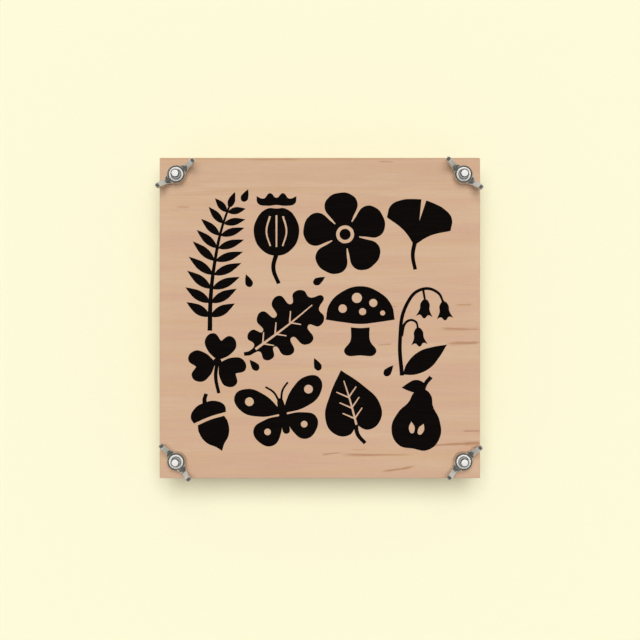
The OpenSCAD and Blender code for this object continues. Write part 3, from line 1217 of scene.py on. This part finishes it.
@dataclass(frozen=True)
class SheetStack:
    """The corrugated cards and blotting sheets between the boards."""

    bottom: float = 9.0
    cards: int = 5
    # The blotters between two cards
    pair: int = 2
    width: float = 190.0
    # How far along each edge a corner is cropped
    crop: float = 21.73
    card_t: float = 3.0
    blotter_t: float = 0.8
    liner_t: float = 0.4
    medium_t: float = 0.35
    flutes: int = 30
    flute_steps: int = 16
    # How far a sheet's edges may fall short of the full size, as hand-trimmed sheets do
    trim: float = 0.45
    # The air over and under each sheet, so that no two faces lie in one plane
    air: float = 0.01
    # The radius of a blotter's and of a liner's edges
    blotter_edge: float = 0.16
    liner_edge: float = 0.06
    # How far the fluted sheet bites into the liners, the part of its wave that they press flat, and its ends' setback
    bite: float = 0.02
    pressed: float = 0.05
    setback: float = 0.15
    crease: float = 50
    seed: int = 11

    def build(self) -> list[bpy.types.Object]:
        """Makes every sheet, from the bottom up.

        Returns:
            The sheets.
        """
        uneven = random.Random(self.seed)
        made, height = [], self.bottom
        for card in range(self.cards):
            made += self._card(f"cardboard_{card + 1}", height, self._trimmed(uneven))
            height += self.card_t
            if card < self.cards - 1:
                for place in range(self.pair):
                    name = f"blotter_{card * self.pair + place + 1}"
                    made.append(self._blotter(name, height, self._trimmed(uneven)))
                    height += self.blotter_t
        return made

    def _trimmed(self, uneven: random.Random) -> list[Corner]:
        """Draws one sheet's outline, trimmed by hand and with its four corners cropped.

        Args:
            uneven: says how far each edge falls short.

        Returns:
            The corners.
        """
        left, right, front, back = (self.width / 2 - uneven.uniform(0, self.trim) for _ in range(4))
        return [
            (self.crop - left, -front, 0),
            (right - self.crop, -front, 0),
            (right, self.crop - front, 0),
            (right, back - self.crop, 0),
            (right - self.crop, back, 0),
            (self.crop - left, back, 0),
            (-left, back - self.crop, 0),
            (-left, self.crop - front, 0),
        ]

    def _blotter(self, name: str, height: float, outline: Sequence[Corner]) -> bpy.types.Object:
        """Makes one blotting sheet, with soft edges.

        Args:
            name: the sheet's body.
            height: where its underside lies.
            outline: its corners.

        Returns:
            The sheet.
        """
        bm = prism(outline, height + self.air, height + self.blotter_t - self.air)
        rounded(bm, sharp_edges(bm), self.blotter_edge, steps=2)
        ride = Ride(name, "blotting_paper", (name,))
        return put(mesh_of(bm, name, BLOTTER), f"{name}_paper", ride, crease=self.crease)

    def _card(self, name: str, height: float, outline: Sequence[Corner]) -> list[bpy.types.Object]:
        """Makes one corrugated card: two flat liners, and the fluted medium between them.

        Args:
            name: the card's body.
            height: where its underside lies.
            outline: its corners.

        Returns:
            The liners and the medium.
        """
        both = bmesh.new()
        for low in (height + self.air, height + self.card_t - self.liner_t - self.air):
            liner = mesh_of(prism(outline, low, low + self.liner_t), "liner")
            both.from_mesh(liner)
            bpy.data.meshes.remove(liner)
        rounded(both, sharp_edges(both), self.liner_edge, steps=2)
        liners, medium = mesh_of(both, name, LINER), self._medium(height + self.card_t / 2, outline)
        return [
            put(liners, f"{name}_liners", Ride(name, "kraft_card", (name,)), crease=self.crease),
            put(medium, f"{name}_medium", Ride(name, "kraft_card"), crease=self.crease),
        ]

    def _medium(self, middle: float, outline: Sequence[Corner]) -> bpy.types.Mesh:
        """Makes the fluted paper, cut a little inside the card's outline.

        Args:
            middle: the height of the card's middle.
            outline: the card's corners.

        Returns:
            The closed mesh.
        """
        bm = bmesh.new()
        half = self.width / 2
        bmesh.ops.create_grid(bm, x_segments=self.flutes * self.flute_steps, y_segments=1, size=half)
        reach = (self.card_t - 2 * self.liner_t - self.medium_t) / 2 + self.bite
        for vert in bm.verts:
            phase = math.tau * self.flutes * (vert.co.x + half) / self.width
            vert.co.z = max(-reach, min(reach, -(1 + self.pressed) * reach * math.cos(phase)))
        bmesh.ops.translate(bm, verts=bm.verts, vec=(0, 0, middle))
        for (x0, y0, _), (x1, y1, _) in zip(outline, [*outline[1:], outline[0]]):
            outward = Vector((y1 - y0, x0 - x1, 0)).normalized()
            plane = {"plane_co": Vector((x0, y0, 0)) - outward * self.setback, "plane_no": outward}
            bmesh.ops.bisect_plane(bm, geom=bm.verts[:] + bm.edges[:] + bm.faces[:], clear_outer=True, **plane)
        bmesh.ops.solidify(bm, geom=bm.faces[:], thickness=self.medium_t)
        bmesh.ops.translate(bm, verts=bm.verts, vec=(0, 0, self.medium_t / 2))
        bmesh.ops.recalc_face_normals(bm, faces=bm.faces)
        return mesh_of(bm, "medium", MEDIUM)


# The print


@dataclass(frozen=True)
class Cutout:
    """A flat shape, drawn as a closed curve through a few knots, with corners where it has them."""

    knots: tuple[Point, ...]
    corners: tuple[int, ...] = ()

    def placed(self, x: float = 0, y: float = 0, turn: float = 0, size: float = 1) -> "Cutout":
        """The same shape turned by degrees, scaled and moved."""
        c, s = math.cos(math.radians(turn)) * size, math.sin(math.radians(turn)) * size
        return Cutout(tuple((x + c * a - s * b, y + s * a + c * b) for a, b in self.knots), self.corners)

    def mesh(self, low: float, high: float) -> bpy.types.Mesh:
        """Cuts the shape out as a thin solid.

        Args:
            low: height of its underside.
            high: height of its top.

        Returns:
            The closed mesh.
        """
        curve = bpy.data.curves.new("cutout", "CURVE")
        curve.dimensions, curve.fill_mode, curve.resolution_u = "2D", "BOTH", 8
        curve.extrude = (high - low) / 2
        spline = curve.splines.new("BEZIER")
        spline.use_cyclic_u = True
        spline.bezier_points.add(len(self.knots) - 1)
        for number, (point, knot) in enumerate(zip(spline.bezier_points, self.knots)):
            point.co = (*knot, 0)
            point.handle_left_type = point.handle_right_type = "VECTOR" if number in self.corners else "AUTO"
        flat = evaluated(curve)
        bpy.data.curves.remove(curve)
        bm = bmesh.new()
        bm.from_mesh(flat)
        bpy.data.meshes.remove(flat)
        bmesh.ops.remove_doubles(bm, verts=bm.verts, dist=MERGE)
        bmesh.ops.recalc_face_normals(bm, faces=bm.faces)
        bmesh.ops.translate(bm, verts=bm.verts, vec=(0, 0, (low + high) / 2))
        return mesh_of(bm, "cutout", INK)


def both_sides(half: Sequence[Point], corners: Sequence[int] = ()) -> Cutout:
    """Draws a symmetrical shape.

    Args:
        half: the knots of its right half, of which the first and last are on its middle line.
        corners: which of them are corners.

    Returns:
        The shape.
    """
    left = [(-x, y) for x, y in reversed(half[1:-1])]
    count = len(half) + len(left)
    return Cutout((*half, *left), tuple({*corners, *((count - c) % count for c in corners)}))


def disc(x: float, y: float, radius: float) -> Cutout:
    """A round shape."""
    spots = (math.tau * i / 8 for i in range(8))
    return Cutout(tuple((x + radius * math.cos(a), y + radius * math.sin(a)) for a in spots))


def leaf(length: float, width: float, belly: float = 0.45) -> Cutout:
    """Draws a pointed leaf that grows to the right from the middle.

    Args:
        length: from its base to its point.
        width: at its widest.
        belly: how far along it is widest, as a share of its length.

    Returns:
        The leaf.
    """
    w = width / 2
    side = [(belly * 0.4 * length, w * 0.72), (belly * length, w), ((belly + 1) / 2 * length, w * 0.62)]
    return Cutout(((0, 0), *((x, -y) for x, y in side), (length, 0), *reversed(side)), (0, 4))


def petal(length: float, width: float) -> Cutout:
    """Draws a round-ended petal that grows to the right from the middle.

    Args:
        length: from its base to its end.
        width: at its widest.

    Returns:
        The petal.
    """
    w = width / 2
    side = [(0.38 * length, 0.62 * w), (0.72 * length, w), (0.94 * length, 0.62 * w)]
    return Cutout(((0, 0), *((x, -y) for x, y in side), (length, 0), *reversed(side)), (0,))


def stem(points: Sequence[Point], thick: float, thin: float) -> Cutout:
    """Draws a stalk or vein that follows some points and thins towards its end.

    Args:
        points: the middle line.
        thick: its width at the start.
        thin: its width at the end.

    Returns:
        The stalk.
    """
    sides: tuple[list[Point], list[Point]] = ([], [])
    last = len(points) - 1
    for i, here in enumerate(points):
        ahead = Vector(points[min(i + 1, last)]) - Vector(points[max(i - 1, 0)])
        across = Vector((-ahead.y, ahead.x)).normalized() * (thick + (thin - thick) * i / last) / 2
        for side, sign in zip(sides, SIDES):
            side.append((here[0] + sign * across.x, here[1] + sign * across.y))
    return Cutout((*sides[0], *reversed(sides[1])), (0, last, last + 1, 2 * last + 1))


def veins(middle: Sequence[Point], thick: float, heights: Sequence[float], out: float, up: float) -> list[Cutout]:
    """Draws a leaf's middle vein with pairs of side veins.

    Args:
        middle: the middle vein's points.
        thick: its width at the start.
        heights: where the pairs leave it.
        out: how far each side vein reaches out.
        up: how far it rises.

    Returns:
        The veins.
    """
    sides = [stem([(0, y), (s * out, y + up)], 0.9, 0.6) for y in heights for s in SIDES]
    return [stem(middle, thick, 0.6), *sides]


def frond(spine: Sequence[Point], joints: int) -> list[Cutout]:
    """Draws a fern's frond, with a leaflet at each side of every joint and one at its tip.

    Args:
        spine: the points that its stalk follows.
        joints: the number of parts that the joints divide it into.

    Returns:
        The stalk and the leaflets.
    """
    shapes = [stem(spine, 3.0, 1.2)]
    for i in range(1, joints):
        share = i / joints
        place = share * (len(spine) - 1)
        low = min(int(place), len(spine) - 2)
        start, end = Vector(spine[low]), Vector(spine[low + 1])
        here, ahead = start.lerp(end, place - low), end - start
        heading = math.degrees(math.atan2(ahead.y, ahead.x))
        # The leaflets are longest below the frond's middle, and narrow towards its tip
        blade = leaf(7 + 12.5 * math.sin(math.pi * (0.26 + 0.68 * share)), 6.4 - 2.2 * share, 0.5)
        shapes += [blade.placed(here.x, here.y, heading + side * 60) for side in SIDES]
    return [*shapes, leaf(11, 4.4).placed(9.4, 33.5, 68)]


@dataclass(frozen=True)
class Motif:
    """One plant of the print: black shapes joined together, the holes cut from them, and loose parts beside them."""

    name: str
    at: Point
    turn: float
    size: float
    shapes: Sequence[Cutout]
    holes: Sequence[Cutout] = ()
    loose: Sequence[Cutout] = ()

    def mesh(self, low: float, high: float) -> bpy.types.Mesh:
        """Makes the motif in its place, as one thin closed mesh.

        Args:
            low: height of its underside.
            high: height of its top.

        Returns:
            The mesh.
        """
        first, *rest = self._cut(self.shapes, low, high)
        joined = combined(first, rest, Cut.JOIN)
        joined = combined(joined, self._cut(self.holes, low - OVERRUN, high + OVERRUN), Cut.TAKE_AWAY)
        return combined(joined, self._cut(self.loose, low, high), Cut.JOIN)

    def _cut(self, shapes: Sequence[Cutout], low: float, high: float) -> list[bpy.types.Mesh]:
        """Thin solids of some of the shapes, in their place on the board."""
        return [s.placed(*self.at, turn=self.turn, size=self.size).mesh(low, high) for s in shapes]


# The print's outlines. A symmetrical one is its right half alone, from its middle line round to it again
GINKGO_FAN = ((0, 0), (8, 7.5), (19.5, 13), (18.6, 20.5), (13, 25), (6.4, 27), (1.5, 27.8), (0, 15))
POPPY_HEAD = ((0, -11.5), (7, -9), (11.6, -1), (10, 8), (4.6, 13), (0, 13))
POPPY_CROWN = ((0, 14.8), (5, 14.4), (9.6, 15.6), (10.4, 19.4), (6.6, 18.2), (3.4, 21), (0, 18.6))
OAK_BLADE = (
    (0, -25), (2.4, -21), (7.6, -21.6), (9.4, -17), (5.2, -13), (12, -11.8), (14, -6.6), (7, -2.6),
    (14.4, 0.4), (15, 6), (7.4, 8.4), (11.4, 13), (9.2, 18), (4.2, 18.4), (0, 24.5),
)
TOADSTOOL_CAP = ((0, -2.2), (10, -1.2), (20.6, 0.4), (18.6, 9.4), (11, 17), (0, 20.4))
TOADSTOOL_STALK = ((0, -4.6), (5.6, -4.2), (5.8, -12), (9.4, -19.4), (0, -21))
BELL = both_sides(((0, 1.2), (3.0, -1.4), (3.6, -6.4), (5.9, -11.2), (3.0, -10.2), (0, -12.6)), (3,))
CLOVER_LEAFLET = both_sides(((0, 1), (7.4, 6.5), (9.6, 12.6), (5.2, 17), (0, 13.2)), (0, 4))
ACORN_NUT = ((0, -19.4), (2.2, -16.4), (7.2, -11.4), (9.2, -4), (8.4, 0), (0, 0.6))
ACORN_CUP = ((0, 2.4), (10.2, 1.8), (10.8, 5.6), (6.8, 10), (0, 11.4))
FORE_WING = ((1, 2.6), (8, 12.6), (18, 18.2), (25, 15.6), (23.4, 6.6), (13, 0.8), (1, 0))
HIND_WING = ((1, -1), (11, -1.6), (18.4, -5.6), (16.6, -13.6), (9.4, -17), (3.4, -11))
HEART_BLADE = ((0, -10), (5.4, -14.4), (13.4, -11), (15.4, -2), (9.4, 9.6), (0, 21))
PEAR_FRUIT = ((0, -18.6), (8.6, -18), (14.4, -9.6), (12.4, 0.6), (7.2, 8), (5, 14), (0, 16.8))
PIP = both_sides(((0, 3.4), (1.7, -0.6), (0, -3.6)), (0,))
SEED = both_sides(((0, 4), (1.9, 0), (2.3, -2.6), (0, -4.6)), (0,))

PLANTS = (
    Motif(
        "blossom", (16, 53), 8, 1.13,
        shapes=[disc(0, 0, 8), *(petal(23.5, 18.6).placed(turn=90 + 72 * i) for i in range(5))],
        holes=[disc(0, 0, 5.0)],
        loose=[disc(0, 0, 3.1)],
    ),
    Motif(
        "ginkgo leaf", (59.8, 46), -12, 1.06,
        shapes=[both_sides(GINKGO_FAN, (0, 2, 6, 7)), stem([(0, 2.5), (0.4, -6), (3.6, -14)], 2.6, 2.1)],
    ),
    Motif(
        "fern frond", (-66.5, 36), 1, 1,
        shapes=frond([(-4, -44), (-3, -22), (0, 0), (4.5, 20), (11, 38)], 10),
    ),
    Motif(
        "poppy head", (-27.5, 53.5), 0, 1.22,
        shapes=[both_sides(POPPY_HEAD), stem([(0, -10.5), (-1.6, -18), (1.2, -26)], 2.4, 2.0)],
        holes=[
            stem([(0, 9.5), (0, -7)], 1.0, 0.8),
            *(stem([(s * 3.4, 9), (s * 5.2, 1), (s * 3.2, -6.5)], 1.0, 0.8) for s in SIDES),
        ],
        loose=[both_sides(POPPY_CROWN, (3,))],
    ),
    Motif(
        "oak leaf", (-20.5, -4), -52, 1.17,
        shapes=[both_sides(OAK_BLADE), stem([(0, -23), (-0.4, -26), (-1.8, -28.5)], 2.6, 2.0)],
        holes=veins([(0, -22), (0.5, 0), (0, 17)], 1.4, (-17, -8.5, 1.5), 4.6, 4.2),
    ),
    Motif(
        "toadstool", (25.6, -1.5), 0, 1.06,
        shapes=[both_sides(TOADSTOOL_CAP, (2,))],
        holes=[
            disc(*spot)
            for spot in ((-10.5, 7, 2.5), (-2, 13.4, 3.0), (7.8, 10.4, 2.4), (1.4, 5.2, 2.1), (13.4, 4.4, 1.5))
        ],
        loose=[both_sides(TOADSTOOL_STALK, (1,))],
    ),
    Motif(
        "bellflower", (65, -4.5), 0, 1,
        shapes=[
            stem([(-13, -32), (-14.2, -10), (-10, 13), (-0.6, 22.6), (9.6, 20.7), (13.3, 14.4)], 2.6, 1.5),
            stem([(-13.2, -7), (-9.6, 2.4), (-4.4, 2.2), (-2.8, -2.5)], 1.8, 1.3),
            stem([(0.4, 22.8), (1.7, 15.4)], 1.5, 1.3),
            leaf(34, 12.5, 0.5).placed(-12.6, -31.4, 34),
            *(BELL.placed(x, y, turn, 0.88) for x, y, turn in ((13.5, 14.0, 5), (1.8, 15.3, -4), (-2.7, -2.6, 5))),
        ],
    ),
    Motif(
        "clover", (-65, -28), -10, 1.04,
        shapes=[
            disc(0, 0, 2.6),
            *(CLOVER_LEAFLET.placed(turn=turn) for turn in (0, 112, -112)),
            stem([(0, 0), (0.6, -9), (4.2, -18.5)], 2.4, 2.0),
        ],
    ),
    Motif(
        "acorn", (-69, -65), 20, 1.06,
        shapes=[both_sides(ACORN_CUP, (1,)), stem([(0, 10), (0.6, 13), (2.8, 16)], 2.8, 2.2)],
        loose=[both_sides(ACORN_NUT, (0, 4))],
    ),
    Motif(
        "butterfly", (-23.5, -60.5), 12, 1.1,
        shapes=[
            both_sides([(0, -12), (2, -3), (2.2, 4), (0, 9)]),
            *(
                Cutout(tuple((s * x, y) for x, y in wing), corners)
                for wing, corners in ((FORE_WING, (0, 6)), (HIND_WING, (0,)))
                for s in SIDES
            ),
            *(stem([(s * 0.6, 7), (s * 2.6, 13), (s * 6.6, 17)], 1.3, 1.1) for s in SIDES),
        ],
        holes=[disc(s * x, y, radius) for x, y, radius in ((17.4, 10.6, 2.5), (10.8, -8.6, 1.9)) for s in SIDES],
    ),
    Motif(
        "heart leaf", (20, -56.5), 16, 1.16,
        shapes=[both_sides(HEART_BLADE, (0, 5)), stem([(0, -9), (-0.8, -15), (1.8, -21)], 2.4, 2.0)],
        holes=veins([(0, -10), (0.3, 4), (0, 15)], 1.2, (-6.5, -0.5, 5.5), 5.6, 4.6),
    ),
    Motif(
        "pear", (62.5, -63), -10, 1.08,
        shapes=[
            both_sides(PEAR_FRUIT),
            stem([(0, 15), (0.6, 20), (3.2, 24.6)], 2.2, 2.4),
            leaf(14.5, 7.4).placed(1.2, 19.4, 196),
        ],
        holes=[PIP.placed(s * 2.9, -6.4, s * -14) for s in SIDES],
    ),
    # Loose seeds fill the gaps between the plants
    Motif("seed 1", (-45.5, 24), 20, 1, [SEED]),
    Motif("seed 2", (-47, 78), -24, 1, [SEED]),
    Motif("seed 3", (-42, -29.5), 40, 1, [SEED]),
    Motif("seed 4", (0, 24), -60, 1, [SEED]),
    Motif("seed 5", (-2, -29), 24, 1, [SEED]),
    Motif("seed 6", (44, -33), -40, 1, [SEED]),
)


@dataclass(frozen=True)
class Print:
    """The black print on the top board."""

    # The height of the board's face, how far the ink stands above it, and how far it soaks in
    surface: float = 39.4
    film: float = 0.05
    sunk: float = 0.02

    def build(self) -> bpy.types.Object:
        """Lays every motif on the board, in one piece.

        Returns:
            The print.
        """
        whole = bmesh.new()
        for plant in PLANTS:
            mesh = plant.mesh(self.surface - self.sunk, self.surface + self.film)
            whole.from_mesh(mesh)
            bpy.data.meshes.remove(mesh)
            log.info("print: %s", plant.name)
        return put(mesh_of(whole, "print", INK), "top_board_print", Ride("top_board", "black_ink"))


# The studio


@dataclass(frozen=True)
class Studio:
    """The pale floor, the soft light and the camera straight above. Its lengths are in metres."""

    backdrop: str = "#FEFBDA"
    # What the floor gives back to the object, a little darker than what the camera sees of it
    bounce: str = "#E6E1C8"
    # The share of the floor's own light in what the camera sees, which keeps its shadows pale
    glow: float = 0.05
    floor_half: float = 6.0
    # A hair below the press, so that the two never show through each other
    floor_drop: float = 0.0001
    # What a level face gets from the lamp and from all round, which together show a colour as it is written
    sun_share: float = 0.68
    air: float = 0.32
    # The lamp's lean from the vertical and its breadth, in degrees
    sun_tilt: float = 13.4
    sun_spread: float = 36.0
    # What metal reflects of the tent's walls and of its roof, and the steepness where one turns into the other
    tent: float = 1.0
    roof: float = 0.15
    eaves: Point = (0.5, 0.88)
    # The top board's face, the camera's height above it, the place that it looks at, and the width that it sees there
    surface: float = 0.0394
    height: float = 0.97
    aim: Point = (0.0001, -0.0013)
    view_width: float = 0.4056
    sensor: float = 36.0

    def build(self) -> None:
        """Sets up the floor, the light and the camera."""
        for part in (self._floor, self._world, self._sun, self._camera):
            part()
        bpy.context.scene.view_settings.view_transform = "Standard"
        log.info("studio: floor, world, sun and camera")

    def _floor(self) -> None:
        """A large matt floor, which keeps the press's shadow."""
        bm = bmesh.new()
        below = Matrix.Translation((0, 0, -self.floor_drop))
        bmesh.ops.create_grid(bm, x_segments=1, y_segments=1, size=self.floor_half, matrix=below)
        material = bpy.data.materials.new("backdrop_paper")
        material.use_nodes = True
        material.node_tree.nodes.clear()
        add = partial(add_node, material.node_tree)
        seen = self._seen(add, "Is Camera Ray", "Is Glossy Ray", "Is Transmission Ray")
        colour = add("Mix", {0: seen, 6: self.bounce, 7: self.backdrop}, data_type="RGBA")
        share = add("Math", (seen, self.glow), operation="MULTIPLY")
        glow = add("Emission", {"Color": self.backdrop})
        shader = add("MixShader", (share, add("BsdfDiffuse", {"Color": colour}), glow))
        add("OutputMaterial", {"Surface": shader})
        mesh = mesh_of(bm, "floor")
        mesh.materials.append(material)
        floor = bpy.data.objects.new("floor", mesh)
        bpy.context.scene.collection.objects.link(floor)

    @staticmethod
    def _seen(add: AddNode, *rays: str) -> Socket:
        """Writes 1 for some kinds of light ray and 0 for the rest.

        Args:
            add: adds a node to the tree.
            rays: the names of their outputs on the light path.

        Returns:
            The share.
        """
        path = add("LightPath").node.outputs
        seen = path[rays[0]]
        for ray in rays[1:]:
            seen = add("Math", (seen, path[ray]), operation="MAXIMUM")
        return seen

    def _world(self) -> None:
        """Pale all round, dim overhead in reflections, and a low even light on the object."""
        world = bpy.data.worlds.new("studio")
        world.use_nodes = True
        world.node_tree.nodes.clear()
        add = partial(add_node, world.node_tree)
        up = add("SeparateXYZ", (add("TexCoord").node.outputs["Generated"],)).node.outputs["Z"]
        roof = add("MapRange", (up, *self.eaves, self.tent, self.roof), interpolation_type="SMOOTHSTEP")
        strength = add("Mix", {0: self._seen(add, "Is Glossy Ray"), 2: self.air, 3: roof})
        seen = self._seen(add, "Is Camera Ray", "Is Transmission Ray")
        strength = add("Mix", {0: seen, 2: strength, 3: 1.0})
        colour = add("Mix", {0: seen, 6: "#FFFFFF", 7: self.backdrop}, data_type="RGBA")
        add("OutputWorld", {"Surface": add("Background", {"Color": colour, "Strength": strength})})
        bpy.context.scene.world = world

    def _sun(self) -> None:
        """One broad soft light, a little behind the press."""
        light = bpy.data.lights.new("softbox", "SUN")
        tilt = math.radians(self.sun_tilt)
        light.energy = self.sun_share * math.pi / math.cos(tilt)
        light.angle = math.radians(self.sun_spread)
        lamp = bpy.data.objects.new("softbox", light)
        lamp.rotation_euler = (-tilt, 0, 0)
        lamp.visible_glossy = False
        bpy.context.scene.collection.objects.link(lamp)

    def _camera(self) -> None:
        """The camera, which looks straight down with the press's back at the top of the picture."""
        data = bpy.data.cameras.new("camera")
        data.sensor_width = self.sensor
        data.lens = self.height * self.sensor / self.view_width
        camera = bpy.data.objects.new("camera", data)
        camera.location = (*self.aim, self.surface + self.height)
        bpy.context.scene.collection.objects.link(camera)
        bpy.context.scene.camera = camera


def main() -> None:
    """Builds the press from the bottom up, and the studio round it."""
    logging.basicConfig(level=logging.INFO, format="%(name)s: %(message)s")
    seats = Seats()
    pocket = {"pocket_r": 9.0, "pocket_depth": 4.2, "neck": 6.4}
    Board("bottom_board", "base", 0.0, UNDER_VENEER, hole_r=3.1, **pocket).build(seats)
    CarriageBolt().build(seats)
    SheetStack().build()
    Board("top_board", "top_board", 30.4, TOP_VENEER, hole_r=3.5).build(seats)
    Print().build()
    WingNut().build(seats)
    Studio().build()


if __name__ == "__main__":
    main()
